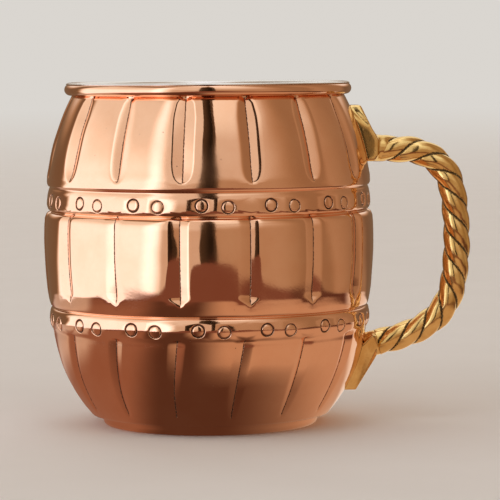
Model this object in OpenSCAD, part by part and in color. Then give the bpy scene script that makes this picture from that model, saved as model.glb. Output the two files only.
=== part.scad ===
// Barrel mug: a pressed copper shell with a steel liner, and a twisted rope handle of brass.
// Millimetres, +Z up. The origin is the centre of the foot, on the table, and the handle points to +X.

/* [Barrel] */
// Largest outer radius, across the staves at the belly
belly_r = 45.1; // [44:0.1:46]
// Height of the belly above the table
belly_z = 51; // [50:0.5:52]
// Radius of the arc that the middle of the wall follows
belly_arc = 144; // [140:1:160]
// Height where the belly's arc turns into the shoulder's
shoulder_z = 67; // [66:0.5:68]
// Radius of the shoulder's arc, up to the rim
shoulder_arc = 64.2; // [62:0.5:70]
// Height where the belly's arc turns into the bowl's
bowl_z = 22.7; // [22:0.1:24]
// Radius of the bowl's arc, down to the foot
bowl_arc = 42.3; // [41:0.1:44]
// Thickness of the copper sheet
sheet_t = 1.0; // [0.8:0.1:1.2]
// Thickness of the steel liner
liner_t = 0.3; // [0.25:0.05:0.4]

/* [Foot] */
// Outer radius of the foot on the table
foot_r = 29; // [28:0.5:29.5]
// Height of the crease between the foot and the bowl
foot_h = 3; // [2.8:0.1:3.4]
// Width of the flat ring that rests on the table
foot_w = 2.4; // [2:0.1:3]
// Height of the hollow under the base
hollow_h = 1.4; // [1:0.1:1.6]

/* [Rim] */
// Height of the centre of the curled rim
curl_z = 91.6; // [91:0.1:92]
// Outer radius of the copper curl's own section
curl_r = 1.6; // [1.5:0.05:1.7]
// Angle on the outside of the curl at which the liner's lip ends
lip_end = 55; // [40:5:70]

/* [Hoops] */
// Height of each raised hoop band
hoop_w = 6.6; // [6:0.1:7]
// Height of the lower hoop's middle
lower_hoop_z = 29.4; // [29:0.1:30]
// Height of the upper hoop's middle
upper_hoop_z = 61.9; // [61.5:0.1:62.5]
// Depth of the crease along each hoop's edge
hoop_crease = 0.9; // [0.6:0.1:1]

/* [Staves] */
// Number of staves round the barrel
staves = 15; // [15]
// Depth of the groove between two staves, at its ends
flute_d = 0.55; // [0.4:0.05:0.65]
// Angle between a groove's two sides
flute_angle = 144; // [140:1:150]
// Turn of the upper and middle grooves from the handle
upper_turn = -3; // [-4:0.5:-2]
// Turn of the lower grooves from the handle
lower_turn = -5.5; // [-6:0.5:-4.5]

/* [Stamped rings] */
// Outer diameter of a stamped ring
ring_d = 3.8; // [3.4:0.1:4]
// Width of a ring's groove
ring_w = 0.5; // [0.4:0.05:0.6]
// Depth of a ring's groove
ring_depth = 0.3; // [0.2:0.05:0.35]
// Angle round the barrel between the two rings of a pair
ring_gap = 8.9; // [8.5:0.1:9.5]

/* [Handle] */
// Diameter of the rope over its three strands
rope_d = 7.4; // [7:0.1:7.8]
// Length of one full turn of a strand
rope_pitch = 20; // [18:0.5:24]
// Width of both lugs
lug_w = 11; // [10:0.5:12]
// Cut across each free corner of a lug
lug_clip = 2; // [1:0.5:3]

/* [Rivets] */
// Diameter of a rivet's shank
shank_d = 3; // [2.5:0.1:3.2]
// Diameter of a rivet's head, inside the mug
head_d = 6; // [5.5:0.1:6.2]
// Height of a rivet's head
head_h = 1.1; // [0.9:0.1:1.4]
// Depth of the blind hole in the back of a lug
socket_depth = 1.5; // [1.2:0.1:1.6]

/* [Hidden] */

$fn = 96;
copper = "#c7815d";
steel = "#c9c7c2";
brass = "#c29a45";
stave_pitch = 360 / staves;
// cutters and cores reach past the faces that they cut by this much
over = 1;

// ---- the wall: three tangent arcs, with its hoops ----

shoulder_sin = (shoulder_z - belly_z) / belly_arc;
bowl_sin = (bowl_z - belly_z) / belly_arc;
belly_core = belly_r - belly_arc;

// each arc as [radius of its centre, height of its centre, its own radius]
belly_part = [belly_core, belly_z, belly_arc];
shoulder_part = next_arc(shoulder_sin, shoulder_arc);
bowl_part = next_arc(bowl_sin, bowl_arc);

// an arc that leaves the belly's arc where the wall's normal rises by asin(s), tangent to it
function next_arc(s, arc) = [
    belly_core + (belly_arc - arc) * sqrt(1 - s * s),
    belly_z + (belly_arc - arc) * s,
    arc
];
function arc_at(z) = z > shoulder_z ? shoulder_part : z < bowl_z ? bowl_part : belly_part;
// angle by which the wall's outward normal rises at height z
function lean(z) = asin((z - arc_at(z)[1]) / arc_at(z)[2]);
// radius of the plain wall at height z, for a skin this far inside the outer face
function wall_r(z, inset = 0) =
    arc_at(z)[0] + sqrt(pow(arc_at(z)[2] - inset, 2) - pow(z - arc_at(z)[1], 2));

// a hoop's section: how far the wall stands out at a height d from the hoop's middle
hoop_edge = 0.9;
upper_rise = -0.4;
lower_rise = 0.4;
hoop_steps = [-hoop_w / 2 - hoop_edge, -hoop_w / 2, hoop_edge - hoop_w / 2];
function hoop_relief(d, rise) = lookup(abs(d), [
    [hoop_w / 2 - hoop_edge, rise],
    [hoop_w / 2, -hoop_crease],
    [hoop_w / 2 + hoop_edge, 0]
]);
function relief(z) =
    hoop_relief(z - lower_hoop_z, lower_rise) + hoop_relief(z - upper_hoop_z, upper_rise);

// height of the neck, under the curl
neck_z = 90;
// heights at which the wall's outline has a point
wall_zs = concat(
    [foot_h],
    [for (i = [1:6]) foot_h + (lower_hoop_z + hoop_steps[0] - foot_h) * i / 7],
    [for (d = hoop_steps) lower_hoop_z + d],
    [for (i = [2:-1:0]) lower_hoop_z - hoop_steps[i]],
    [for (i = [1:4]) middle_z(i / 5)],
    [for (d = hoop_steps) upper_hoop_z + d],
    [for (i = [2:-1:0]) upper_hoop_z - hoop_steps[i]],
    [for (i = [1:7]) upper_hoop_z - hoop_steps[0] + (neck_z - upper_hoop_z + hoop_steps[0]) * i / 7]
);
function middle_z(t) = (lower_hoop_z - hoop_steps[0]) * (1 - t) + (upper_hoop_z + hoop_steps[0]) * t;
function wall_side(inset) = [for (z = wall_zs) [wall_r(z, inset) + relief(z), z]];

// centre radius of the curl: its inner side is the inner face of the sheet at the neck
curl_x = wall_r(neck_z, sheet_t) + curl_r;
curl_hollow = curl_r - sheet_t + 0.1;
// the wall's inner face starts at this height, above a flat corner
corner_z = foot_h + 2;

// solid of revolution inside the barrel's outer face
module barrel_core() {
    foot_in = foot_r - foot_w;
    rotate_extrude()
        polygon(concat(
            [[0, hollow_h], [foot_in - hollow_h / 2, hollow_h], [foot_in, 0], [foot_r, 0]],
            [[foot_r + 1, 0.8], [foot_r + 1.5, foot_h - 0.5]],
            wall_side(0),
            [[curl_x, curl_z], [0, curl_z]]
        ));
}

// the space inside the barrel, for a skin this far inside the outer face, closed at height top
module barrel_space(inset, top) {
    rotate_extrude()
        polygon(concat(
            [[0, hollow_h + inset], [foot_r - foot_w, hollow_h + inset]],
            [for (p = wall_side(inset)) if (p[1] > corner_z) p],
            [[curl_x - curl_r - inset + sheet_t, curl_z], [curl_x - curl_r - inset + sheet_t, top], [0, top]]
        ));
}

// ---- what is pressed into the sheet ----

// one length of groove, with a V section; its bottom is a straight line, flute_d deep at both ends
module flute(z_low, z_high, inset) {
    bottom_low = wall_r(z_low) - flute_d - inset;
    bottom_high = wall_r(z_high) - flute_d - inset;
    tip = atan2(bottom_high - bottom_low, z_high - z_low);
    reach = 4;
    translate([bottom_low, 0, z_low])
        rotate([0, tip, 0])
            linear_extrude(norm([bottom_high - bottom_low, z_high - z_low]))
                polygon([
                    [0, 0],
                    [reach, -reach * tan(flute_angle / 2)],
                    [reach, reach * tan(flute_angle / 2)]
                ]);
}

// the heights that each row's grooves run through, in one straight length from each to the next
upper_flute = [68.5, 79, 88.5];
middle_flute = [35, 56.5];
lower_flute = [6, 14, 24];

module flute_row(heights, turn, first, inset) {
    for (i = [first:staves - 1]) {
        rotate([0, 0, turn + i * stave_pitch])
            for (j = [1:len(heights) - 1]) flute(heights[j - 1], heights[j], inset);
    }
}

// the sheet stays plain under the two lugs, where groove 0 of the upper and lower rows would be
module flutes(inset) {
    flute_row(upper_flute, upper_turn, 1, inset);
    flute_row(middle_flute, upper_turn, 0, inset);
    flute_row(lower_flute, lower_turn, 1, inset);
}

// one stamped ring, as the tube that cuts it
module stamp(z, rise) {
    face = wall_r(z) + rise;
    translate([face - ring_depth, 0, z])
        rotate([0, 90 - lean(z), 0])
            difference() {
                cylinder(h = over, d = ring_d, $fn = 32);
                translate([0, 0, -over]) cylinder(h = 3 * over, d = ring_d - 2 * ring_w, $fn = 32);
            }
}

// a pair of rings in the middle of each stave; the second ring of a pair sits a little lower
module stamps(z, rise, turn) {
    second_drop = 0.4;
    for (i = [0:staves - 1]) {
        rotate([0, 0, turn + i * stave_pitch - ring_gap / 2]) stamp(z, rise);
        rotate([0, 0, turn + i * stave_pitch + ring_gap / 2]) stamp(z - second_drop, rise);
    }
}

// ---- rivets: their holes and themselves ----

upper_rivet_zs = [75.5, 83.2];
lower_rivet_zs = [12, 18.8];
hole_clearance = 0.02;

// moves what is drawn along +Z on to the wall's outward normal at height z
module on_wall(z) {
    translate([wall_r(z), 0, z])
        rotate([0, 90 - lean(z), 0])
            children();
}

module rivet_holes() {
    for (z = concat(upper_rivet_zs, lower_rivet_zs))
        on_wall(z)
            translate([0, 0, -sheet_t - liner_t - 2 * over])
                cylinder(h = sheet_t + liner_t + 2 * over + socket_depth, d = shank_d + 2 * hole_clearance);
}

// the shank stops short of the socket's bottom, and the head bears on the liner
module rivet(z) {
    seat = sheet_t + liner_t + 0.16;
    edge_h = 0.4;
    color(steel)
        on_wall(z)
            union() {
                translate([0, 0, -seat]) cylinder(h = seat + socket_depth - 0.1, d = shank_d);
                translate([0, 0, -seat - edge_h]) cylinder(h = edge_h, d = head_d);
                translate([0, 0, -seat - head_h])
                    cylinder(h = head_h - edge_h, d1 = head_d * 0.6, d2 = head_d);
            }
}

// ---- body ----

module copper_shell() {
    slit_w = 0.35;
    color(copper)
        difference() {
            union() {
                barrel_core();
                rotate_extrude() translate([curl_x, curl_z]) circle(r = curl_r, $fn = 48);
            }
            flutes(0);
            difference() {
                barrel_space(sheet_t, curl_z + 4);
                flutes(sheet_t);
            }
            rotate_extrude() translate([curl_x, curl_z]) circle(r = curl_hollow, $fn = 32);
            // the gap between the end of the curl and the neck
            rotate_extrude()
                translate([curl_x + slit_w, curl_z - curl_r - over])
                    square([slit_w, curl_r + over]);
            stamps(upper_hoop_z, upper_rise, 7.9);
            stamps(lower_hoop_z, lower_rise, 6.4);
            rivet_holes();
        }
}

module steel_liner() {
    lip_reach = 3;
    color(steel)
        difference() {
            union() {
                difference() {
                    barrel_space(sheet_t, curl_z);
                    flutes(sheet_t);
                }
                // the lip, over the crest of the copper curl
                rotate_extrude()
                    translate([curl_x, curl_z])
                        intersection() {
                            difference() {
                                circle(r = curl_r + liner_t, $fn = 48);
                                circle(r = curl_r, $fn = 48);
                            }
                            polygon([
                                [0, 0],
                                lip_reach * [cos(lip_end), sin(lip_end)],
                                [0, lip_reach],
                                [-lip_reach, lip_reach],
                                [-lip_reach, 0]
                            ]);
                        }
            }
            difference() {
                barrel_space(sheet_t + liner_t, curl_z + 4);
                flutes(sheet_t + liner_t);
            }
            rivet_holes();
        }
}

// ---- the rope's route, from the upper lug to the lower lug, in the XZ plane ----

route_start = [46.8, 75.0];
start_heading = -3;
// each leg is [turn in degrees, radius], or [0, length] where it is straight; all turns are clockwise
legs = [[0, 7.7], [77, 13.2], [19, 78], [56, 17], [11, 40], [0, 4.2]];

function leg_length(leg) = leg[0] == 0 ? leg[1] : leg[0] * PI / 180 * leg[1];
// place [x, z, heading] after a length s of one leg
function along(leg, s, at) =
    leg[0] == 0
    ? [at[0] + s * cos(at[2]), at[1] + s * sin(at[2]), at[2]]
    : let (h = at[2] - s / leg[1] * 180 / PI)
      [at[0] + leg[1] * (sin(at[2]) - sin(h)), at[1] + leg[1] * (cos(h) - cos(at[2])), h];
function route(s, i = 0, at = [route_start[0], route_start[1], start_heading]) =
    s <= leg_length(legs[i]) || i == len(legs) - 1
    ? along(legs[i], s, at)
    : route(s - leg_length(legs[i]), i + 1, along(legs[i], leg_length(legs[i]), at));
function sum(v, i = 0) = i == len(v) ? 0 : v[i] + sum(v, i + 1);
rope_length = sum([for (leg = legs) leg_length(leg)]);
rope_end = route(rope_length);

// ---- one strand: a third of the rope's section, swept and turned along the route ----

// radius at which two strands meet on the rope's surface
valley_r = rope_d * 0.42;
lobe_steps = 6;
rings = round(rope_length / rope_pitch * 18);

// the lobe is an arc through both valleys and the crest; its centre is lobe_c from the rope's centre
lobe_c = (pow(rope_d / 2, 2) - pow(valley_r, 2)) / (rope_d - valley_r);
lobe_r = rope_d / 2 - lobe_c;
lobe_half = atan2(valley_r * sin(60), valley_r * cos(60) - lobe_c);
section = concat(
    [[0, 0]],
    [for (i = [0:lobe_steps])
        let (a = lobe_half * (2 * i / lobe_steps - 1))
        [lobe_c + lobe_r * cos(a), lobe_r * sin(a)]]
);
sides = len(section);

// a point of the section at length s: left-handed twist, the first axis away from the finger gap
function strand_point(p, s, turn) =
    let (at = route(s), a = turn + 360 * s / rope_pitch,
         out = p[0] * cos(a) - p[1] * sin(a), across = p[0] * sin(a) + p[1] * cos(a))
    [at[0] - out * sin(at[2]), across, at[1] + out * cos(at[2])];

// the first side's quads are split the other way, to match the neighbouring strand's last side
function quad(a, b, c, d, flip) = flip ? [[a, b, d], [b, c, d]] : [[a, b, c], [a, c, d]];

module strand(turn) {
    points = [for (i = [0:rings]) for (p = section) strand_point(p, rope_length * i / rings, turn)];
    faces = concat(
        [[for (j = [0:sides - 1]) j]],
        [for (i = [0:rings - 1]) for (j = [0:sides - 1])
            let (k = (j + 1) % sides, low = i * sides, high = low + sides)
            for (t = quad(low + j, high + j, high + k, low + k, j > 0)) t],
        [[for (j = [sides - 1:-1:0]) rings * sides + j]]
    );
    color(brass) polyhedron(points, faces);
}

// ---- lugs: flat bars saddled on the wall, each with a short round boss that the rope butts on ----

// a lug's side outline, cut to its width, with the corners of its free end clipped
module bar(outline, low, high) {
    free_low = low < belly_z ? lug_clip : 0;
    free_high = low < belly_z ? 0 : lug_clip;
    half = lug_w / 2;
    intersection() {
        rotate([90, 0, 0])
            linear_extrude(lug_w, center = true)
                polygon(outline);
        rotate([90, 0, 90])
            linear_extrude(belly_r + 10)
                polygon([
                    [free_low - half, low], [half - free_low, low],
                    [half, low + free_low], [half, high - free_high],
                    [half - free_high, high], [free_high - half, high],
                    [-half, high - free_high], [-half, low + free_low]
                ]);
    }
}

// a cylinder that ends at a place on the route, and runs back from it along its heading
module boss(at, back) {
    translate([at[0], 0, at[1]])
        rotate([0, 90 - at[2], 0])
            translate([0, 0, back > 0 ? -back : 0])
                cylinder(h = abs(back), d = rope_d - 0.4, $fn = 48);
}

upper_low = 71.6;
upper_high = 86.9;
upper_outline = [
    [wall_r(upper_low) - 2, upper_low],
    [wall_r(upper_low) + 1.6, upper_low],
    [wall_r(78.6) + 3.5, 78.6],
    [wall_r(upper_high) + 3, upper_high],
    [wall_r(upper_high) - 2, upper_high]
];

module upper_lug() {
    color(brass)
        difference() {
            union() {
                bar(upper_outline, upper_low, upper_high);
                boss([route_start[0], route_start[1], start_heading], 5);
            }
            barrel_core();
            rivet_holes();
        }
}

lower_low = 8.9;
lower_high = 24;
lower_outline = [
    [wall_r(lower_low) - 2, lower_low],
    [wall_r(lower_low) + 3, lower_low],
    [rope_end[0] - 0.4, 18.6],
    [rope_end[0] - 0.4, lower_high],
    [wall_r(21.6) - 2, 20.3]
];

module lower_lug() {
    color(brass)
        difference() {
            union() {
                bar(lower_outline, lower_low, lower_high);
                boss(rope_end, -4);
            }
            barrel_core();
            rivet_holes();
        }
}

copper_shell();
steel_liner();
upper_lug();
lower_lug();
strand(0);  // rope_strand_1
strand(120);  // rope_strand_2
strand(240);  // rope_strand_3
rivet(upper_rivet_zs[0]);  // upper_rivet_1
rivet(upper_rivet_zs[1]);  // upper_rivet_2
rivet(lower_rivet_zs[0]);  // lower_rivet_1
rivet(lower_rivet_zs[1]);  // lower_rivet_2
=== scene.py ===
"""Looks of the copper barrel mug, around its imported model. +Z up, the handle towards +X."""

import math

import bmesh
import bpy
import numpy as np
from mathutils import Matrix, Vector, noise


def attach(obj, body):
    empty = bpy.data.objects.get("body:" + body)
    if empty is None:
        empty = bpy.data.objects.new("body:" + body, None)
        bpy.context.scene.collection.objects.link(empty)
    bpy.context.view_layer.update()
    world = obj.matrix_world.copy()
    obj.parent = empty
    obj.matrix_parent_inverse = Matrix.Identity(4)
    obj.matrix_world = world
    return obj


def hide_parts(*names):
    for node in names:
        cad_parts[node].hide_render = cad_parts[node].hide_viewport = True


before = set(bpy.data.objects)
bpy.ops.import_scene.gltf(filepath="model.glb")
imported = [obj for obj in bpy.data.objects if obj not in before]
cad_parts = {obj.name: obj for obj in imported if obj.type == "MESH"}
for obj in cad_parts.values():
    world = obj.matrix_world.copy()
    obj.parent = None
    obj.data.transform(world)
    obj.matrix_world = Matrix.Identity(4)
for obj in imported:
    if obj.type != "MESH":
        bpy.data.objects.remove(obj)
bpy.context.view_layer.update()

# Sizes below are millimetres and degrees. Meshes are made in metres.
MM = 0.001

# the wall: three tangent arcs
BELLY_R, BELLY_Z, BELLY_ARC = 45.1, 51.0, 144.0
SHOULDER_Z, SHOULDER_ARC = 67.0, 64.2
BOWL_Z, BOWL_ARC = 22.7, 42.3
SHEET_T = 1.0
LINER_T = 0.3
LINER_GAP = 0.02

# the foot and the base
FOOT_H = 3.0
HOLLOW_H = 1.4
FLOOR_R = 26.6
FLOOR_Z = HOLLOW_H + SHEET_T

# the rim
NECK_Z = 90.0
CURL_Z, CURL_R = 91.6, 1.6
CURL_END = -84.0
LIP_END = 52.0

# hoops, each as points of (height from its middle, how far the wall stands out there)
UPPER_HOOP_Z, LOWER_HOOP_Z = 61.9, 29.4
UPPER_HOOP = (
    (-5.9, 0.0), (-4.5, -0.26), (-3.7, -0.72), (-3.2, -1.45), (-2.6, -0.91), (-1.9, -0.62), (-1.1, -0.52),
    (0.1, -0.53), (1.6, -0.61), (2.7, -0.78), (3.3, -0.98), (3.7, -0.42), (4.5, -0.1), (6.5, 0.06),
    (9.0, 0.0),
)
LOWER_HOOP = (
    (-5.2, 0.0), (-3.2, -0.12), (-2.6, 0.03), (-1.6, 0.37), (-0.4, 0.43), (1.1, 0.16), (2.5, -0.28),
    (2.9, -0.58), (3.2, -1.02), (3.7, -0.5), (4.8, -0.2), (6.9, -0.05), (8.0, 0.0),
)

# staves, and the grooves between them: each row's half width at points of its height
STAVES = 15
PITCH = 360 / STAVES
# heights that part the lower, middle and upper rows of staves
MIDDLE_ROW_FOOT, UPPER_ROW_FOOT = 31.0, 60.0
# turn of the grooves at points of height: the lower row leans a little
GROOVE_TURNS = ((4.0, -9.0), (25.0, -6.0), (34.0, -4.0), (57.0, -4.0), (66.0, -3.0), (67.0, -3.0))
UPPER_FLUTE = (
    (67.6, 0.0), (67.8, 0.8), (68.3, 1.5), (69.3, 2.2), (71.0, 2.7), (73.5, 2.9), (84.0, 2.9),
    (88.0, 2.3), (90.4, 1.7),
)
MIDDLE_FLUTE = ((35.3, 0.0), (37.9, 2.75), (38.8, 2.9), (57.6, 2.9), (58.6, 2.7), (59.3, 0.0))
LOWER_FLUTE = ((4.2, 0.0), (6.5, 1.2), (12.0, 1.9), (20.0, 2.5), (25.6, 2.6), (26.5, 2.2), (26.95, 0.0))
# slopes of each row's two flanks, and how softly the grooves' edges are rounded
UPPER_SLOPES, MIDDLE_SLOPES, LOWER_SLOPES = (23.5, 23.5), (15.0, 20.5), (21.0, 21.0)
UPPER_ROUND, MIDDLE_ROUND, LOWER_ROUND = 0.38, 0.26, 0.2
FULL_HALF = 2.9
CREASE_HALF = 0.21
# towards the lower hoop, the staves' edges sink by this much beside the grooves
PILLOW = 0.3
PILLOW_FOOT, PILLOW_TOP = (32.0, 35.0), (36.0, 50.0)

# stamped rings: two to a stave, on each hoop
RING_R, RING_HALF = 1.63, 0.19
RING_GAP = 8.9
RING_DROP = 0.4
UPPER_RING_TURN, LOWER_RING_TURN = 7.9, 6.4
BOLD_RING, FAINT_RING = 0.30, 0.20

# the rope and its route in the XZ plane: legs are (turn clockwise, radius), or (0, length)
ROPE_D, ROPE_PITCH = 7.4, 20.0
ROUTE_START, START_HEADING = (46.8, 75.0), -3.0
LEGS = ((0, 7.7), (77, 13.2), (19, 78), (56, 17), (11, 40), (0, 4.2))
VALLEY_R = 0.42 * ROPE_D
STRAND_SPACING = 0.28

# rivets
RIVET_ZS = (75.5, 83.2, 12.0, 18.8)
SHANK_D, HEAD_D, HEAD_H = 3.0, 6.0, 1.1
SHANK_REACH = 1.4


# ---- small helpers ----

def smooth_step(x, low, high):
    """0 below low, 1 above high, and an even ramp between."""
    t = np.clip((np.asarray(x, float) - low) / (high - low), 0, 1)
    return t * t * (3 - 2 * t)


def through(points, x):
    """Height at x of a smooth curve through points, level past both ends, with no overshoot."""
    px, py = np.array(points, float).T
    rise = np.diff(py) / np.diff(px)
    product = rise[:-1] * rise[1:]
    total = rise[:-1] + rise[1:]
    slope = np.zeros_like(py)
    slope[1:-1] = np.where(product > 0, 2 * product / np.where(product > 0, total, 1), 0)
    x = np.asarray(x, float)
    i = np.clip(np.searchsorted(px, x) - 1, 0, len(px) - 2)
    span = px[i + 1] - px[i]
    t = np.clip((x - px[i]) / span, 0, 1)
    ends = py[i] * (1 + 2 * t) * (1 - t) ** 2 + py[i + 1] * t * t * (3 - 2 * t)
    return ends + span * t * (1 - t) * (slope[i] * (1 - t) - slope[i + 1] * t)


def make_object(name, mesh):
    obj = bpy.data.objects.new(name, mesh)
    bpy.context.scene.collection.objects.link(obj)
    return obj


def smooth_mesh(name, points, faces):
    """A smooth-shaded mesh in metres, from points in millimetres."""
    mesh = bpy.data.meshes.new(name)
    mesh.from_pydata((np.asarray(points) * MM).tolist(), [], faces)
    mesh.polygons.foreach_set("use_smooth", [True] * len(mesh.polygons))
    mesh.update()
    return mesh


def set_attribute(mesh, name, values):
    layer = mesh.attributes.new(name, "FLOAT", "POINT")
    layer.data.foreach_set("value", np.asarray(values, np.float32))


def mesh_points(mesh):
    """The mesh's points, in millimetres."""
    flat = np.zeros(len(mesh.vertices) * 3)
    mesh.vertices.foreach_get("co", flat)
    return flat.reshape(-1, 3) / MM


def move_points(mesh, points):
    mesh.vertices.foreach_set("co", (points * MM).ravel())
    mesh.update()


def made_real(obj):
    """Turns an object's modifiers into its plain mesh."""
    graph = bpy.context.evaluated_depsgraph_get()
    mesh = bpy.data.meshes.new_from_object(obj.evaluated_get(graph))
    obj.modifiers.clear()
    if obj.type == "MESH":
        obj.data = mesh
        return obj
    name = obj.name
    bpy.data.objects.remove(obj)
    return make_object(name, mesh)


# ---- node trees ----

def add(tree, kind, inputs=None, **settings):
    """Adds a node. An input is a value, or another node's output to link."""
    node = tree.nodes.new(kind)
    for key, value in settings.items():
        setattr(node, key, value)
    for key, value in (inputs or {}).items():
        if isinstance(value, bpy.types.NodeSocket):
            tree.links.new(value, node.inputs[key])
        else:
            node.inputs[key].default_value = value
    return node


def math_node(tree, operation, *values, clamp=False):
    inputs = dict(enumerate(values))
    return add(tree, "ShaderNodeMath", inputs, operation=operation, use_clamp=clamp).outputs[0]


def vector_node(tree, operation, inputs):
    return add(tree, "ShaderNodeVectorMath", inputs, operation=operation).outputs[0]


def ramp(tree, value, low, high, start=0.0, end=1.0):
    inputs = {"Value": value, "From Min": low, "From Max": high, "To Min": start, "To Max": end}
    return add(tree, "ShaderNodeMapRange", inputs, interpolation_type="SMOOTHSTEP").outputs[0]


def new_tree(kind, name, inputs, outputs):
    """A node group with named sockets; inputs and outputs are (name, socket type, default)."""
    tree = bpy.data.node_groups.new(name, kind)
    for title, socket, default in inputs:
        item = tree.interface.new_socket(title, in_out="INPUT", socket_type="NodeSocket" + socket)
        if default is not None:
            item.default_value = default
    for title, socket in outputs:
        tree.interface.new_socket(title, in_out="OUTPUT", socket_type="NodeSocket" + socket)
    return tree, tree.nodes.new("NodeGroupInput").outputs, tree.nodes.new("NodeGroupOutput").inputs


def run_tree(obj, tree, values):
    """Puts a geometry tree on an object, with its inputs given by name."""
    modifier = obj.modifiers.new(tree.name, "NODES")
    modifier.node_group = tree
    for item in tree.interface.items_tree:
        if item.item_type == "SOCKET" and item.in_out == "INPUT" and item.name in values:
            modifier[item.identifier] = values[item.name]
    obj.update_tag()
    return obj


# ---- the wall's shape ----

def next_arc(z_joint, arc):
    """Centre radius, centre height and radius of the arc that follows the belly's at z_joint."""
    s = (z_joint - BELLY_Z) / BELLY_ARC
    inward = BELLY_ARC - arc
    return BELLY_R - BELLY_ARC + inward * math.sqrt(1 - s * s), BELLY_Z + inward * s, arc


BELLY_PART = (BELLY_R - BELLY_ARC, BELLY_Z, BELLY_ARC)
SHOULDER_PART = next_arc(SHOULDER_Z, SHOULDER_ARC)
BOWL_PART = next_arc(BOWL_Z, BOWL_ARC)


def wall_r(z, inset=0.0):
    """Radius of the plain wall at height z, for a skin this far inside its outer face."""
    z = np.asarray(z, float)
    radii = []
    for core, middle, arc in (BELLY_PART, SHOULDER_PART, BOWL_PART):
        radii.append(core + np.sqrt(np.clip((arc - inset) ** 2 - (z - middle) ** 2, 0, None)))
    return np.where(z > SHOULDER_Z, radii[1], np.where(z < BOWL_Z, radii[2], radii[0]))


def lean(z):
    """Angle by which the wall's outward normal rises, in radians."""
    part = SHOULDER_PART if z > SHOULDER_Z else BOWL_PART if z < BOWL_Z else BELLY_PART
    return math.asin((z - part[1]) / part[2])


CURL_X = float(wall_r(NECK_Z, SHEET_T)) + CURL_R


def hoop_relief(z):
    return through(UPPER_HOOP, z - UPPER_HOOP_Z) + through(LOWER_HOOP, z - LOWER_HOOP_Z)


def groove_half(z):
    """Half width of the groove at height z."""
    return through(UPPER_FLUTE, z) + through(MIDDLE_FLUTE, z) + through(LOWER_FLUTE, z)


def by_row(z, upper, middle, lower):
    """The value for whichever row of staves is at height z."""
    return np.where(z > UPPER_ROW_FOOT, upper, np.where(z > MIDDLE_ROW_FOOT, middle, lower))


def groove_depth(u, z, soft):
    """Depth of the groove at a distance u along the wall from its crease."""
    half = groove_half(z)
    pairs = zip(UPPER_SLOPES, MIDDLE_SLOPES, LOWER_SLOPES)
    left, right = [np.tan(np.radians(by_row(z, *slopes))) for slopes in pairs]
    steep = np.where(u < 0, left, right)
    reach = 2 * half * (left + right - steep) / (left + right)
    soft = soft * by_row(z, UPPER_ROUND, MIDDLE_ROUND, LOWER_ROUND)
    inside = (reach - np.sqrt(u * u + 0.03 ** 2)) / soft
    ramped = soft * np.log1p(np.exp(np.clip(inside, -30, 30)))
    ramped = np.where(inside > 30, inside * soft, ramped)
    return steep * ramped * np.clip(half / 0.4, 0, 1)


def groove_turn(z):
    """Turn of the groove's middle at height z."""
    return through(GROOVE_TURNS, z)


def ring_relief(distance, depth):
    """Section of one stamped ring: a groove, a fine lip round it and a low dome inside."""
    groove = -depth * np.exp(-((distance - RING_R) / RING_HALF) ** 2)
    lip = 0.2 * depth * np.exp(-((distance - RING_R - 0.33) / 0.12) ** 2)
    dome = 0.3 * depth * np.clip(1 - (distance / RING_R) ** 2, 0, None)
    return groove + lip + dome


def skin_r(turn, z, inset, soft, grooved):
    """Radius of the wall at an angle from its groove's middle; grooved is 0 to 1."""
    u = np.radians(turn) * wall_r(z)
    beside = (1 - np.abs(turn) / (PITCH / 2)) ** 2
    sunk = PILLOW * beside * smooth_step(z, *PILLOW_FOOT) * (1 - smooth_step(z, *PILLOW_TOP))
    return wall_r(z, inset) + hoop_relief(z) - sunk - grooved * groove_depth(u, z, soft)


# ---- one stave of the barrel ----

HALF_COLUMNS = 12
EVEN_TURNS = np.linspace(-PITCH / 2, PITCH / 2, 2 * HALF_COLUMNS + 1)
# the columns that crowd along a groove of full width, and the least that they are narrowed to
FLUTE_COLUMNS = (0.0, 0.1, 0.25, 0.8, 1.8, 2.4, 2.7, 2.95, 3.25, 3.8)
NARROWEST = 0.4
# at points of height: 1 where the columns are evenly spaced, 0 where they crowd along the groove
EVENNESS = (
    (3.6, 1), (6.0, 0), (25.6, 0), (26.9, 1), (31.6, 1), (35.0, 0),
    (58.3, 0), (59.4, 1), (64.0, 1), (67.5, 0), (89.4, 0), (90.4, 1),
)


def column_turns(z):
    """Angles of one row's points from the groove's middle, from one edge of the stave to the other."""
    edge = math.radians(PITCH / 2) * float(wall_r(z))
    narrow = max(float(groove_half(z)) / FULL_HALF, NARROWEST)
    crowded = np.array(FLUTE_COLUMNS) * narrow
    rest = np.linspace(crowded[-1], edge, HALF_COLUMNS - len(crowded) + 2)[1:]
    crowded = np.concatenate([crowded, rest]) / edge
    even = np.linspace(0, 1, HALF_COLUMNS + 1)
    share = float(through(EVENNESS, z))
    half = (even * share + crowded * (1 - share)) * PITCH / 2
    return np.concatenate([-half[:0:-1], half])


class Patches:
    """Grids of points that meet edge to edge; their doubles are merged later."""

    def __init__(self):
        self.points, self.faces, self.marks = [], [], []
        self.count = 0

    def grid(self, points, marks=None):
        rows, columns = points.shape[:2]
        index = self.count + np.arange(rows * columns).reshape(rows, columns)
        quads = np.stack([index[:-1, :-1], index[:-1, 1:], index[1:, 1:], index[1:, :-1]], -1)
        self.faces += quads.reshape(-1, 4).tolist()
        self.points.append(points.reshape(-1, 3))
        self.marks.append(np.zeros(rows * columns) if marks is None else marks.ravel())
        self.count += rows * columns

    def chain(self, *stretches):
        """Stretches of surface one after another, with a band of faces between each two."""
        for stretch in stretches:
            self.grid(stretch)
        for before, after in zip(stretches, stretches[1:]):
            self.grid(np.stack([before[-1], after[0]]))

    def mesh(self, name):
        mesh = smooth_mesh(name, np.concatenate(self.points), self.faces)
        # the groove attribute marks where the finishes paint shade
        set_attribute(mesh, "groove", np.concatenate(self.marks))
        return mesh


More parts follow.
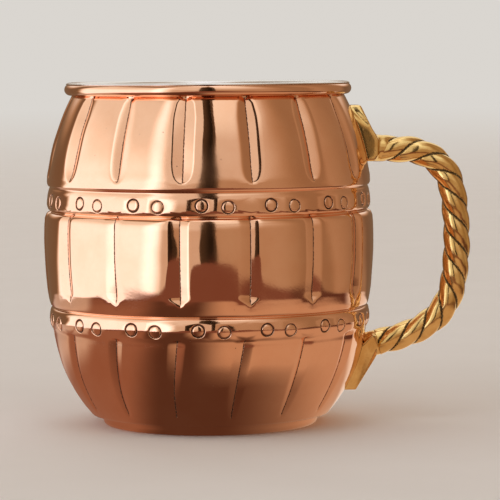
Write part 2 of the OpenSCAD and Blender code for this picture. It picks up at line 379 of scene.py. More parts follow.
def turned(radius, azimuth, z):
    """Points at a radius, an azimuth in degrees and a height."""
    angle = np.radians(azimuth)
    return np.stack(np.broadcast_arrays(radius * np.cos(angle), radius * np.sin(angle), z), -1)


def around(radius, turns, z):
    """Points round the axis at a height, turned with the grooves there."""
    return turned(radius, turns + groove_turn(z), z)


def wall_points(rows, grooved, inset=0.0):
    """A stretch of wall, one row of points at each height, and how deep in a crease each point is."""
    z = np.array(rows)[:, None]
    turns = np.array([column_turns(row) for row in rows])
    u = np.radians(turns) * wall_r(z)
    # how deep in a crease each point is: the mask for the painted crease shade
    marks = np.exp(-(u / CREASE_HALF) ** 2) * np.clip(groove_half(z), 0, 1) * grooved(z)
    return around(skin_r(turns, z, inset, 1.0, grooved(z)), turns, z), marks


def lathe_points(profile, turns):
    """A stretch of plain round surface, from (radius, height) points."""
    radius, z = np.array(profile, float).T[:, :, None]
    return around(radius, turns, z)


# distances of the loops of points from a stamped ring's middle
RING_LOOPS = (0.0, 0.55, 1.1, 1.36, 1.48, 1.56, RING_R, 1.70, 1.78, 1.88, 2.0)
SIDE_STEPS = 5
# half width of the painted shade along a ring's groove
RING_MARK_HALF = 0.24


def patch_edge(low, high, side):
    """Azimuths and heights round half a stave of hoop, once round, on the wall's own columns."""
    columns = slice(HALF_COLUMNS, None) if side > 0 else slice(0, HALF_COLUMNS + 1)
    zs = np.linspace(low, high, SIDE_STEPS + 1)
    rows = np.array([column_turns(z)[columns] + groove_turn(z) for z in zs])
    edge = [(azimuth, low) for azimuth in rows[0]]
    edge += [(rows[i][-1], zs[i]) for i in range(1, SIDE_STEPS)]
    edge += [(azimuth, high) for azimuth in rows[-1][::-1]]
    edge += [(rows[i][0], zs[i]) for i in range(SIDE_STEPS - 1, 0, -1)]
    return np.array(edge + edge[:1]).T


def ring_patch(patches, low, high, side, centre, depth):
    """Half a stave of hoop with a stamped ring, as loops from the ring's middle to the patch's edge."""
    azimuth, z = patch_edge(low, high, side)
    scale = math.radians(1) * float(wall_r(centre[1]))
    across, up = (azimuth - centre[0]) * scale, z - centre[1]
    reach = np.hypot(across, up)
    loops = np.array(RING_LOOPS)[:, None]
    azimuths = np.vstack([centre[0] + across / reach * loops / scale, azimuth])
    heights = np.vstack([centre[1] + up / reach * loops, z])
    distance = np.hypot((azimuths - centre[0]) * scale, heights - centre[1])
    relief = ring_relief(distance, depth)
    # where shade is painted in the ring's groove, stronger for the bold ring
    marks = (0.4 + 0.8 * depth / BOLD_RING) * np.exp(-((distance - RING_R) / RING_MARK_HALF) ** 2)
    for edged in (relief, marks):
        edged[-1] = 0
    radius = wall_r(heights) + hoop_relief(heights) + relief
    patches.grid(turned(radius, azimuths, heights)[::-1], marks[::-1])


def ring_pair(patches, low, high, hoop_z, pair_turn):
    """Both rings that fall on one stave's width: the bold one of a pair, and the next pair's faint one."""
    bold = pair_turn - RING_GAP / 2
    faint = pair_turn + RING_GAP / 2 - PITCH
    ring_patch(patches, low, high, 1, (bold, hoop_z), BOLD_RING)
    ring_patch(patches, low, high, -1, (faint, hoop_z - RING_DROP), FAINT_RING)


def arc_points(centre, radius, start, end, steps):
    angles = np.radians(np.linspace(start, end, steps + 1))
    return [(centre[0] + radius * math.cos(a), centre[1] + radius * math.sin(a)) for a in angles]


LOWER_RINGS = (26.95, 31.5)
UPPER_RINGS = (59.4, 63.95)


def lining_rows():
    """Heights of the rows that the liner and the copper's inner face share."""
    rows = [*np.arange(8.0, 25, 1.5), *np.arange(25.5, 34, 0.5), *np.arange(35, 57, 1.5)]
    return rows + [*np.arange(57.5, 67.5, 0.5), *np.arange(68.5, 90, 1.5)]
def wall_rows():
    """Heights of the wall's rows of points: below, between and above the two rows of rings."""
    below = [*np.linspace(FOOT_H, 6.5, 8), *np.linspace(8, 24.5, 11)]
    below += [25.1, 25.5, 25.9, 26.2, 26.45, 26.7, 26.95]
    between = [31.5, 31.8, 32.1, 32.3, 32.45, 32.6, 32.8, 33.1, 33.6, 34.2, 34.8]
    between += [*np.linspace(35.3, 38.9, 10), *np.linspace(40.5, 56.7, 10)]
    between += [57.4, 57.9, 58.2, 58.4, 58.55, 58.7, 58.85, 59.1, 59.4]
    above = [63.95, 64.4, 64.8, 65.1, 65.3, 65.5, 65.8, *np.linspace(66.2, 70.2, 10)]
    above += [71, 72, 73.2, *np.linspace(75, 83, 6), *np.linspace(84, NECK_Z, 8)]
    return below, between, above


def groove_everywhere(z):
    return np.ones_like(z)


def groove_middle_only(z):
    """The stave that both lugs sit on has a groove in its middle row only."""
    return ((z > MIDDLE_ROW_FOOT) & (z < UPPER_ROW_FOOT)).astype(float)


def foot_profile():
    """Half section of the base and the foot, from the axis out to the wall."""
    base = [(radius, HOLLOW_H) for radius in (0.0, 6, 14, 22, 25.2)]
    ring = [(25.9, 1.1), (26.3, 0.3), (26.8, 0.0), (27.9, 0.0), (28.7, 0.15), (29.2, 0.5)]
    side = [(29.4, 1.0), (29.45, 1.6), (29.5, 2.2), (29.8, 2.65), (30.6, 2.85), (31.6, 2.9)]
    return base + ring + side + [(float(wall_r(FOOT_H)), FOOT_H)]


def curl_profile():
    """Half section of the curled rim: round inside the roll to the sheet's end, and back over the outside."""
    centre, bore = (CURL_X, CURL_Z), CURL_R - SHEET_T
    inside = [(CURL_X - bore, NECK_Z + 0.7)] + arc_points(centre, bore, 180, CURL_END, 10)
    return inside + arc_points(centre, CURL_R, CURL_END, 180, 20)


def shell_stave(name, grooved):
    """One stave's width of the copper: base, foot, wall, curl, and the hidden inner face."""
    patches = Patches()
    below, between, above = [wall_points(rows, grooved) for rows in wall_rows()]
    patches.grid(lathe_points(foot_profile(), EVEN_TURNS))
    patches.grid(*below)
    ring_pair(patches, *LOWER_RINGS, LOWER_HOOP_Z, LOWER_RING_TURN)
    patches.grid(*between)
    ring_pair(patches, *UPPER_RINGS, UPPER_HOOP_Z, UPPER_RING_TURN)
    patches.grid(*above)

    curl = lathe_points(curl_profile(), EVEN_TURNS)
    inner, _ = wall_points(lining_rows()[::-2], grooved, SHEET_T)
    floor = lathe_points([(FLOOR_R, FLOOR_Z), (14, FLOOR_Z), (0.0, FLOOR_Z)], EVEN_TURNS)
    patches.grid(np.stack([above[0][-1], curl[0]]))
    patches.chain(curl, inner, floor)
    return make_object(name, patches.mesh(name))


def staves_tree():
    """Staves set side by side round the axis, with another one at the handle."""
    inputs = (
        ("Geometry", "Geometry", None), ("Handle Stave", "Object", None), ("Staves", "Int", STAVES),
        ("Merge Distance", "Float", 0.0), ("Material", "Material", None),
    )
    tree, given, result = new_tree("GeometryNodeTree", "Staves_In_A_Ring", inputs, [("Geometry", "Geometry")])
    points = add(tree, "GeometryNodePoints", {"Count": given["Staves"]})
    index = add(tree, "GeometryNodeInputIndex").outputs[0]
    step = math_node(tree, "DIVIDE", math.tau, given["Staves"])
    turn = add(tree, "ShaderNodeCombineXYZ", {"Z": math_node(tree, "MULTIPLY", index, step)})
    away = add(tree, "FunctionNodeCompare", {2: index, 3: 0}, data_type="INT", operation="NOT_EQUAL")
    placed = add(tree, "GeometryNodeInstanceOnPoints", {
        "Points": points.outputs[0], "Selection": away.outputs[0],
        "Instance": given["Geometry"], "Rotation": turn.outputs[0],
    })
    handle = add(tree, "GeometryNodeObjectInfo", {"Object": given["Handle Stave"]})
    joined = add(tree, "GeometryNodeJoinGeometry")
    tree.links.new(placed.outputs[0], joined.inputs[0])
    tree.links.new(handle.outputs["Geometry"], joined.inputs[0])
    real = add(tree, "GeometryNodeRealizeInstances", {"Geometry": joined.outputs[0]})
    merge = {"Geometry": real.outputs[0], "Distance": given["Merge Distance"]}
    merged = add(tree, "GeometryNodeMergeByDistance", merge)
    finish = {"Geometry": merged.outputs[0], "Material": given["Material"]}
    tree.links.new(add(tree, "GeometryNodeSetMaterial", finish).outputs[0], result[0])
    return tree


WAVE_COUNT = 26
COPPER_WAVES = 0.02
MERGE_DISTANCE = 0.002


def waves(points, height, seed):
    """A gentle unevenness of hand-raised sheet: long waves round and up the barrel."""
    draw = np.random.default_rng(seed)
    angle = np.arctan2(points[:, 1], points[:, 0])
    total = np.zeros(len(points))
    for _ in range(WAVE_COUNT):
        round_waves = int(draw.integers(3, 30))
        up_waves = draw.uniform(-0.75, 0.75)
        total += np.cos(round_waves * angle + up_waves * points[:, 2] + draw.uniform(0, math.tau))
    return height * total / math.sqrt(WAVE_COUNT / 2)


def build_barrel(name, stave_maker, tree, material, unevenness):
    """Staves copied into a closed ring, with the sheet's own unevenness."""
    stave = stave_maker(name, groove_everywhere)
    handle_stave = stave_maker(name + "_handle_stave", groove_middle_only)
    values = {"Handle Stave": handle_stave, "Merge Distance": MERGE_DISTANCE * MM, "Material": material}
    run_tree(stave, tree, values)
    made_real(stave)
    bpy.data.objects.remove(handle_stave)
    points = mesh_points(stave.data)
    radius = np.hypot(points[:, 0], points[:, 1])
    fade = smooth_step(points[:, 2], 3.5, 8.0) * (1 - smooth_step(points[:, 2], 89, 93))
    push = 1 + waves(points, unevenness, 7) * fade / np.maximum(radius, 1)
    points[:, 0] *= push
    points[:, 1] *= push
    move_points(stave.data, points)
    return stave


# ---- the steel liner ----

LINER_TURNS = np.linspace(-PITCH / 2, PITCH / 2, 17)
LINER_SOFT = 1.3


def liner_points(rows, inset, grooved):
    """The liner's wall at a depth inside the copper's outer face."""
    z = np.array(rows)[:, None]
    return around(skin_r(LINER_TURNS, z, inset, LINER_SOFT, grooved(z)), LINER_TURNS, z)


def liner_stave(name, grooved):
    """One stave's width of the liner: floor, inner face, the lip over the curl, and the hidden back."""
    top, under = FLOOR_Z + LINER_T, FLOOR_Z + LINER_GAP
    floor = [(0.0, top), (13, top), (25.5, top), (26.6, top + 0.25), (28.5, 4.2), (30.3, 5.3)]
    lip = arc_points((CURL_X, CURL_Z), CURL_R + LINER_T, 180, LIP_END, 14)
    lip += arc_points((CURL_X, CURL_Z), CURL_R + LINER_GAP, LIP_END, 180, 14)
    base = [(FLOOR_R, under), (13, under), (0.0, under)]
    floor, lip, base = [lathe_points(profile, LINER_TURNS) for profile in (floor, lip, base)]
    face = liner_points(lining_rows(), SHEET_T + LINER_T, grooved)
    back = liner_points(lining_rows()[::-1], SHEET_T + LINER_GAP, grooved)
    patches = Patches()
    patches.chain(floor, face, lip, back, base)
    mesh = patches.mesh(name)
    mesh.flip_normals()
    return make_object(name, mesh)


# ---- the rope ----

def along(leg, s, at):
    """Place and heading (x, z, degrees) after a length s of one leg."""
    x, z, heading = at
    start = math.radians(heading)
    if leg[0] == 0:
        return x + s * math.cos(start), z + s * math.sin(start), heading
    end = start - s / leg[1]
    x += leg[1] * (math.sin(start) - math.sin(end))
    z += leg[1] * (math.cos(end) - math.cos(start))
    return x, z, math.degrees(end)


def leg_length(leg):
    return leg[1] if leg[0] == 0 else math.radians(leg[0]) * leg[1]


ROPE_LENGTH = sum(leg_length(leg) for leg in LEGS)


def route(s):
    at = (*ROUTE_START, START_HEADING)
    if s < 0:
        return along((0, 1), s, at)
    for leg in LEGS[:-1]:
        if s <= leg_length(leg):
            return along(leg, s, at)
        s -= leg_length(leg)
        at = along(leg, leg_length(leg), at)
    return along(LEGS[-1], s, at)


def poly_curve(name, points, cyclic=False):
    curve = bpy.data.curves.new(name, "CURVE")
    curve.dimensions = "3D"
    spline = curve.splines.new("POLY")
    spline.points.add(len(points) - 1)
    spline.points.foreach_set("co", [c for p in points for c in (p[0] * MM, p[1] * MM, p[2] * MM, 1)])
    spline.use_cyclic_u = cyclic
    return make_object(name, curve)


def strand_section():
    """A third of the rope's section: an arc outside, and two flats that meet at the rope's centre."""
    centre = ((ROPE_D / 2) ** 2 - VALLEY_R ** 2) / (ROPE_D - VALLEY_R)
    lobe = ROPE_D / 2 - centre
    half = math.degrees(math.atan2(VALLEY_R * math.sin(math.pi / 3), VALLEY_R / 2 - centre))
    flat = (VALLEY_R / 2 * math.cos(math.pi / 3), VALLEY_R / 2 * math.sin(math.pi / 3))
    points = [(0.0, 0.0), (flat[0], -flat[1])]
    points += arc_points((centre, 0.0), lobe, -half, half, 20)
    points.append(flat)
    return [(x, y, 0.0) for x, y in points]


def strand_tree():
    """One strand swept along the rope's route, twisted evenly by its length."""
    inputs = (
        ("Geometry", "Geometry", None), ("Section", "Object", None), ("Pitch", "Float", 1.0),
        ("Start Turn", "Float", 0.0), ("Spacing", "Float", 1.0), ("Material", "Material", None),
    )
    tree, given, result = new_tree("GeometryNodeTree", "Twisted_Strand", inputs, [("Geometry", "Geometry")])
    even = {"Curve": given["Geometry"], "Length": given["Spacing"]}
    even = add(tree, "GeometryNodeResampleCurve", even, mode="LENGTH")
    level = add(tree, "GeometryNodeSetCurveNormal", {"Curve": even.outputs[0]})
    distance = add(tree, "GeometryNodeSplineParameter").outputs["Length"]
    twist = math_node(tree, "MULTIPLY", math_node(tree, "DIVIDE", distance, given["Pitch"]), math.tau)
    twist = math_node(tree, "ADD", twist, given["Start Turn"])
    tilted = add(tree, "GeometryNodeSetCurveTilt", {"Curve": level.outputs[0], "Tilt": twist})
    section = add(tree, "GeometryNodeObjectInfo", {"Object": given["Section"]})
    sweep = {"Curve": tilted.outputs[0], "Profile Curve": section.outputs["Geometry"], "Fill Caps": True}
    swept = add(tree, "GeometryNodeCurveToMesh", sweep)
    soft = add(tree, "GeometryNodeSetShadeSmooth", {"Geometry": swept.outputs[0]})
    finish = {"Geometry": soft.outputs[0], "Material": given["Material"]}
    finished = add(tree, "GeometryNodeSetMaterial", finish)
    real = add(tree, "GeometryNodeRealizeInstances", {"Geometry": finished.outputs[0]})
    tree.links.new(real.outputs[0], result[0])
    return tree


ROUTE_LINE = np.array([(route(s)[0], 0.0, route(s)[1]) for s in np.linspace(-3, ROPE_LENGTH, 400)])
BROAD_SWELL, VALLEY_GRAIN = 0.08, 0.10


def nearest_centres(points):
    """For each point, the nearest place on the rope's centre line."""
    return np.array([ROUTE_LINE[np.argmin(((ROUTE_LINE - point) ** 2).sum(1))] for point in points])


def cast_surface(mesh):
    """Marks the valleys between strands for painted shade, and roughens them as sand casting leaves them."""
    points = mesh_points(mesh)
    centre = nearest_centres(points)
    distance = np.linalg.norm(points - centre, axis=1)
    valley = 1 - smooth_step(distance, VALLEY_R + 0.02, VALLEY_R + 0.3)
    # painted shade in the valleys between strands
    set_attribute(mesh, "groove", valley)
    rough = np.array([noise.noise(Vector(p) * 1.6) for p in points])
    broad = np.array([noise.noise(Vector(p) * 0.45 + Vector((9, 3, 5))) for p in points])
    scale = 1 + (BROAD_SWELL * broad + VALLEY_GRAIN * valley * rough) / (ROPE_D / 2)
    outside = distance > VALLEY_R * 0.8
    moved = centre + (points - centre) * scale[:, None]
    move_points(mesh, np.where(outside[:, None], moved, points))


def build_strands(material):
    tree = strand_tree()
    line = [(route(s)[0], 0.0, route(s)[1]) for s in np.linspace(0, ROPE_LENGTH, 260)]
    section = poly_curve("strand_section", strand_section(), cyclic=True)
    strands = []
    for i in range(3):
        strand = poly_curve(f"rope_strand_{i + 1}_look", line)
        values = {
            "Section": section, "Pitch": -ROPE_PITCH * MM, "Start Turn": -math.radians(120 * i) + math.pi,
            "Spacing": STRAND_SPACING * MM, "Material": material,
        }
        run_tree(strand, tree, values)
        strand = made_real(strand)
        cast_surface(strand.data)
        strands.append(strand)
    bpy.data.objects.remove(section)
    return strands


# ---- lugs ----

def bar_mesh(name, outline, widths):
    """A bar with a side outline of (x, z) points and a half width at each of them."""
    points, count = [], len(outline)
    for side in (-1, 1):
        points += [(x, side * w, z) for (x, z), w in zip(outline, widths)]
    faces = [list(range(count)), [count + i for i in reversed(range(count))]]
    faces += [[(i + 1) % count, i, count + i, count + (i + 1) % count] for i in range(count)]
    mesh = smooth_mesh(name, points, faces)
    tidy_normals(mesh)
    return mesh


def tidy_normals(mesh):
    """Merges doubled points and turns every face outwards."""
    work = bmesh.new()
    work.from_mesh(mesh)
    bmesh.ops.remove_doubles(work, verts=work.verts, dist=0.001 * MM)
    bmesh.ops.recalc_face_normals(work, faces=work.faces)
    work.to_mesh(mesh)
    work.free()


SEGMENTS = 40


def ring_faces(rings):
    """Quads between neighbouring rings of SEGMENTS points each."""
    quads = []
    for low in range(0, (rings - 1) * SEGMENTS, SEGMENTS):
        for i in range(SEGMENTS):
            j = (i + 1) % SEGMENTS
            quads.append([low + i, low + j, low + SEGMENTS + j, low + SEGMENTS + i])
    return quads


def round_bar(name, places):
    """A closed round bar through (x, z, heading, radius) places."""
    points = []
    for x, z, heading, radius in places:
        h = math.radians(heading)
        for i in range(SEGMENTS):
            a = math.tau * i / SEGMENTS
            out, across = radius * math.cos(a), radius * math.sin(a)
            points.append((x - out * math.sin(h), across, z + out * math.cos(h)))
    ends = [list(range(SEGMENTS))[::-1], list(range(len(points) - SEGMENTS, len(points)))]
    faces = ends + ring_faces(len(places))
    mesh = smooth_mesh(name, points, faces)
    tidy_normals(mesh)
    return mesh


LUG_HALF = 5.5
LUG_CLIP = 2.0
LUG_VOXEL = 0.2
LUG_SINK = 0.8
UPPER_EASE, LOWER_EASE = 45, 3


def back_on_wall(heights):
    """The side of an outline towards the wall, a little inside it: the wall shapes it later."""
    return [(float(wall_r(z)) - LUG_SINK, z) for z in heights]


def upper_lug_parts():
    """The upper lug: a flat bar up to the rim, and the collar that holds the rope."""
    low, high = 71.6, 86.9
    back = back_on_wall(np.linspace(low, high, 14))
    front = [(45.2, low), (46.2, 73.0), (46.4, 77.4), (45.6, 79.0), (44.7, 80.4), (43.5, 82.8), (41.6, high)]
    outline = back + front[::-1]
    widths = [LUG_HALF - LUG_CLIP * float(smooth_step(z, high - 2.5, high + 0.3)) for _, z in outline]
    bar = bar_mesh("upper_bar", outline, widths)
    places = [route(s) for s in (-5.0, -2.0, 0.0, 1.6, 2.6)]
    radii = (3.75, 3.75, 3.72, 3.6, 3.1)
    collar = round_bar("upper_collar", [(*place, radius) for place, radius in zip(places, radii)])
    return bar, collar


def lower_lug_parts():
    """The lower lug: a flat bar down the bowl, and the stub that the rope butts on."""
    low, high = 8.9, 24.0
    end = route(ROPE_LENGTH)
    back = back_on_wall(np.linspace(low, 21.2, 14))
    front = [(float(wall_r(low)) + 3.0, low), (end[0] - 0.6, 18.4), (end[0] - 0.2, 21.0)]
    front += [(end[0] - 0.4, high), (end[0] - 1.6, high + 0.1)]
    outline = back + front[::-1]
    widths = [LUG_HALF - LUG_CLIP * float(1 - smooth_step(z, low - 0.3, low + 2.5)) for _, z in outline]
    bar = bar_mesh("lower_bar", outline, widths)
    ahead = [along((0, 1), s, end) for s in (0.0, 2.0, 4.0)]
    stub = round_bar("lower_stub", [(*place, 3.5) for place in ahead])
    return bar, stub


def lug_object(name, parts, rounds, material):
    """Joins a lug's parts into one cast piece with soft edges, and seats its back on the wall."""
    work = bmesh.new()
    for part in parts:
        work.from_mesh(part)
    mesh = bpy.data.meshes.new(name)
    work.to_mesh(mesh)
    work.free()
    lug = make_object(name, mesh)
    remesh = lug.modifiers.new("fuse", "REMESH")
    remesh.mode = "VOXEL"
    remesh.voxel_size = LUG_VOXEL * MM
    remesh.use_smooth_shade = True
    ease = lug.modifiers.new("ease", "SMOOTH")
    ease.factor = 0.5
    ease.iterations = rounds
    made_real(lug)
    seat_on_wall(lug.data)
    lug.data.materials.clear()
    lug.data.materials.append(material)
    return lug


SEAT_GAP = 0.03


def seat_on_wall(mesh):
    """Moves what would be inside the sheet out on to its face, and marks the seam with the wall for painted
    shade.
    """
    points = mesh_points(mesh)
    radius = np.hypot(points[:, 0], points[:, 1])
    seat = wall_r(points[:, 2]) + SEAT_GAP
    push = np.where(radius < seat, seat / radius, 1)
    points[:, 0] *= push
    points[:, 1] *= push
    move_points(mesh, points)
    # painted shade along the seam where the lug meets the wall
    set_attribute(mesh, "groove", 0.35 * (1 - smooth_step(radius - wall_r(points[:, 2]), 0.0, 0.25)))


# ---- rivets ----

def rivet_profile():
    """Half section of a rivet along its own axis: the wall's outer face is at 0, and the head is below."""
    seat = -(SHEET_T + LINER_T + 0.16)
    head, shank, rim, chamfer = HEAD_D / 2, SHANK_D / 2, 0.35, 0.2
    angles = np.linspace(1.35, 0, 9)
    dome = [(head * math.cos(a), seat - rim - (HEAD_H - rim) * math.sin(a)) for a in angles]
    under = [(head, seat - 0.1), (head - 0.12, seat), (shank, seat)]
    end = [(shank, SHANK_REACH - chamfer), (shank - chamfer, SHANK_REACH), (0, SHANK_REACH)]
    return [(0, seat - HEAD_H)] + dome + under + end


def rivet_mesh(name):
    profile = rivet_profile()
    angles = [math.tau * i / SEGMENTS for i in range(SEGMENTS)]
    points = [(r * math.cos(a), r * math.sin(a), z) for r, z in profile for a in angles]
    mesh = smooth_mesh(name, points, ring_faces(len(profile)))
    tidy_normals(mesh)
    return mesh


def rivets_tree():
    """A rivet at each point, with its axis along the point's own direction."""
    inputs = (("Geometry", "Geometry", None), ("Rivet", "Object", None), ("Material", "Material", None))
    tree, given, result = new_tree("GeometryNodeTree", "Rivets_In_Holes", inputs, [("Geometry", "Geometry")])
    axis = add(tree, "GeometryNodeInputNamedAttribute", {"Name": "axis"}, data_type="FLOAT_VECTOR")
    turn = add(tree, "FunctionNodeAlignRotationToVector", {"Vector": axis.outputs[0]}, axis="Z")
    rivet = add(tree, "GeometryNodeObjectInfo", {"Object": given["Rivet"]})
    placed = add(tree, "GeometryNodeInstanceOnPoints", {
        "Points": given["Geometry"], "Instance": rivet.outputs["Geometry"], "Rotation": turn.outputs[0]})
    real = add(tree, "GeometryNodeRealizeInstances", {"Geometry": placed.outputs[0]})
    finish = {"Geometry": real.outputs[0], "Material": given["Material"]}
    tree.links.new(add(tree, "GeometryNodeSetMaterial", finish).outputs[0], result[0])
    return tree


def build_rivets(material):
    rivet = make_object("rivet", rivet_mesh("rivet"))
    places = [(float(wall_r(z)), 0.0, z) for z in RIVET_ZS]
    spots = make_object("rivets_look", smooth_mesh("rivets_look", places, []))
    layer = spots.data.attributes.new("axis", "FLOAT_VECTOR", "POINT")
    axes = [(math.cos(lean(z)), 0.0, math.sin(lean(z))) for z in RIVET_ZS]
    layer.data.foreach_set("vector", [c for axis in axes for c in axis])
    run_tree(spots, rivets_tree(), {"Rivet": rivet, "Material": material})
    made_real(spots)
    bpy.data.objects.remove(rivet)
    return spots


# ---- finishes ----

# directions of the wheel's strokes, in radians, and how far they bend
STROKE_ANGLES = ((0.9, 0.3, 0.2), (-0.7, 0.5, 1.1), (0.2, 1.2, 2.0))
SWIRL = 6.0


def polishing_marks():
    """Fine curved scratches that a polishing wheel leaves: a height, and where the marks are dense."""
    inputs = (("Vector", "Vector", None), ("Width", "Float", 0.35), ("Length", "Float", 6.0))
    outputs = [("Height", "Float"), ("Density", "Float")]
    tree, given, result = new_tree("ShaderNodeTree", "Polishing_Marks", inputs, outputs)
    across = math_node(tree, "DIVIDE", 1 / MM, given["Width"])
    down = math_node(tree, "DIVIDE", 1 / MM, given["Length"])
    stretch = add(tree, "ShaderNodeCombineXYZ", {"X": across, "Y": across, "Z": down}).outputs[0]
    bend = add(tree, "ShaderNodeTexNoise", {"Vector": given["Vector"], "Scale": 45.0, "Detail": 1.0})
    swirl = vector_node(tree, "SUBTRACT", {0: bend.outputs["Color"], 1: (0.5, 0.5, 0.5)})
    swirl = vector_node(tree, "SCALE", {0: swirl, "Scale": SWIRL * MM})
    bent = vector_node(tree, "ADD", {0: given["Vector"], 1: swirl})
    layers = []
    for angles in STROKE_ANGLES:
        aimed = {"Vector": bent, "Rotation": angles}
        aimed = add(tree, "ShaderNodeVectorRotate", aimed, rotation_type="EULER_XYZ")
        drawn = vector_node(tree, "MULTIPLY", {0: aimed.outputs[0], 1: stretch})
        lines = add(tree, "ShaderNodeTexNoise", {"Vector": drawn, "Scale": 1.0, "Detail": 3.0})
        layers.append(lines.outputs[0])
    total = math_node(tree, "ADD", math_node(tree, "ADD", layers[0], layers[1]), layers[2])
    tree.links.new(math_node(tree, "DIVIDE", total, 3.0), result["Height"])
    patchy = add(tree, "ShaderNodeTexNoise", {"Vector": given["Vector"], "Scale": 60.0, "Detail": 3.0})
    tree.links.new(ramp(tree, patchy.outputs[0], 0.4, 0.68), result["Density"])
    return tree


def specks():
    """Scattered tiny pits: 1 in a pit, 0 elsewhere."""
    inputs = (
        ("Vector", "Vector", None), ("Spacing", "Float", 2.5), ("Size", "Float", 0.1),
        ("Share", "Float", 0.4),
    )
    tree, given, result = new_tree("ShaderNodeTree", "Specks", inputs, [("Mask", "Float")])
    scale = math_node(tree, "DIVIDE", 1 / MM, given["Spacing"])
    cells = add(tree, "ShaderNodeTexVoronoi", {"Vector": given["Vector"], "Scale": scale})
    split = add(tree, "ShaderNodeSeparateColor", {0: cells.outputs["Color"]})
    chosen = math_node(tree, "LESS_THAN", split.outputs[0], given["Share"])
    varied = math_node(tree, "MULTIPLY", given["Size"], math_node(tree, "ADD", split.outputs[1], 0.3))
    near = math_node(tree, "SUBTRACT", varied, cells.outputs["Distance"])
    dot = math_node(tree, "DIVIDE", near, math_node(tree, "MULTIPLY", varied, 0.5), clamp=True)
    tree.links.new(math_node(tree, "MULTIPLY", dot, chosen), result["Mask"])
    return tree


def tarnish():
    """Slow changes of tone, as handling and age leave: cloudy patches, and finer mottling in them."""
    inputs = (("Vector", "Vector", None), ("Patch", "Float", 12.0), ("Contrast", "Float", 0.5))
    tree, given, result = new_tree("ShaderNodeTree", "Tarnish", inputs, [("Mask", "Float")])
    scale = math_node(tree, "DIVIDE", 1 / MM, given["Patch"])
    cloud = {"Vector": given["Vector"], "Scale": scale, "Detail": 6.0, "Roughness": 0.62}
    cloud = add(tree, "ShaderNodeTexNoise", cloud)
    low = math_node(tree, "MULTIPLY", given["Contrast"], 0.5)
    high = math_node(tree, "SUBTRACT", 1.0, low)
    tree.links.new(ramp(tree, cloud.outputs[0], low, high), result["Mask"])
    return tree


def painted_crease_shade():
    """Painted shade in creases and grooves: follows the mesh's groove attribute, broken up along it."""
    inputs = (("Vector", "Vector", None), ("Grain", "Float", 0.6), ("Reach", "Float", 0.5))
    tree, given, result = new_tree("ShaderNodeTree", "Groove_Grime", inputs, [("Mask", "Float")])
    groove = add(tree, "ShaderNodeAttribute", attribute_name="groove").outputs["Fac"]
    scale = math_node(tree, "DIVIDE", 1 / MM, given["Grain"])
    grain = add(tree, "ShaderNodeTexNoise", {"Vector": given["Vector"], "Scale": scale, "Detail": 4.0})
    broken = math_node(tree, "MULTIPLY", math_node(tree, "SUBTRACT", grain.outputs[0], 0.5), 1.4)
    level = math_node(tree, "ADD", groove, broken)
    edge = math_node(tree, "SUBTRACT", 1.0, given["Reach"])
    mask = math_node(tree, "MULTIPLY", math_node(tree, "SUBTRACT", level, edge), 3.0, clamp=True)
    held = math_node(tree, "MULTIPLY", mask, ramp(tree, groove, 0.02, 0.2))
    tree.links.new(held, result["Mask"])
    return tree


# how much of a pit is dirt and of a groove is painted shade, and how rough both are
PIT_DIRT, GROOVE_SHADE = 0.7, 0.92
DIRT_AND_SHADE_ROUGH = 0.4


def mix_colour(tree, share, first, second):
    inputs = {0: share, 6: first, 7: second}
    return add(tree, "ShaderNodeMix", inputs, data_type="RGBA").outputs[2]


def metal_colour(tree, look, cloud, dirt_and_shade):
    clean = mix_colour(tree, cloud, look["bright"], look["deep"])
    # darkens towards one colour: dirt in the pits, painted shade in the grooves
    return mix_colour(tree, dirt_and_shade, clean, look["dirt_and_shade"])


def metal_roughness(tree, look, cloud, density, dirt_and_shade):
    rough = ramp(tree, cloud, 0.0, 1.0, look["rough"], look["rough"] + look["rough_cloud"])
    scuffed = math_node(tree, "MULTIPLY", density, look["rough_marks"])
    rough = math_node(tree, "ADD", rough, scuffed)
    return math_node(tree, "ADD", rough, math_node(tree, "MULTIPLY", dirt_and_shade, DIRT_AND_SHADE_ROUGH))


def metal_relief(tree, look, marks, pits, crease_shade):
    """Scratches, deeper where they are dense, less the pits and the grooves where shade is painted."""
    strength = math_node(tree, "ADD", math_node(tree, "MULTIPLY", marks["Density"], 0.7), 0.3)
    scratches = math_node(tree, "MULTIPLY", marks["Height"], strength)
    height = math_node(tree, "MULTIPLY", scratches, look["mark_depth"])
    height = math_node(tree, "SUBTRACT", height, math_node(tree, "MULTIPLY", pits, look["pit_depth"]))
    height = math_node(tree, "SUBTRACT", height, math_node(tree, "MULTIPLY", crease_shade, look["shaded_groove_depth"]))
    return add(tree, "ShaderNodeBump", {"Height": height, "Distance": MM, "Strength": 1.0}).outputs[0]


